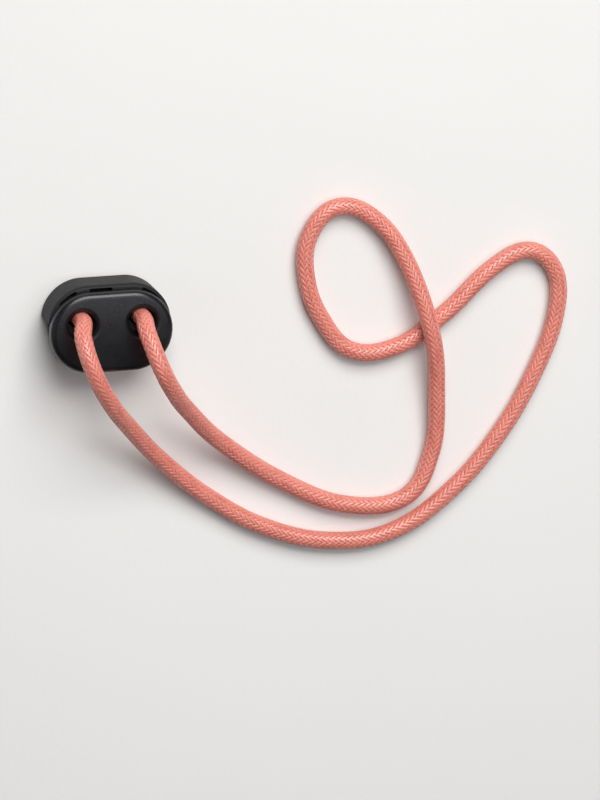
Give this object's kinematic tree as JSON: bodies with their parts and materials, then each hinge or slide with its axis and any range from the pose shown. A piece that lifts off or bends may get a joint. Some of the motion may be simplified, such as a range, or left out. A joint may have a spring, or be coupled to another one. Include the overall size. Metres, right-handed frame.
{
  "type": "cord lock",
  "caption": "Flat oval spring cord lock with a hooded push button, gripping both strands of one round elastic cord that leaves as a hand loop.",
  "frame": {"origin": "on the flat back face, under the middle of the front plate", "axes": "+Z out of the front face, along the cord holes; +Y towards the button; +X along the plate's width"},
  "size_m": [0.0963, 0.0645, 0.0179],
  "materials": {
    "housing_plastic": "fine satin moulded black acetal",
    "button_plastic": "fine satin moulded black acetal",
    "spring_steel": "bright drawn wire",
    "cord_braid": "braided polyester sheath over rubber, salmon"
  },
  "bodies": {
    "housing": {"housing": "housing_plastic", "spring": "spring_steel", "elastic_cord": "cord_braid"},
    "button": {"button": "button_plastic"}
  },
  "joints": [
    {"name": "button_press", "type": "slide", "parent": "housing", "child": "button", "axis": [0, -1, 0], "range_m": [0, 0.0015], "stiffness_N_per_m": 1600, "springref_m": -0.0027, "deforming": ["spring"]}
  ]
}
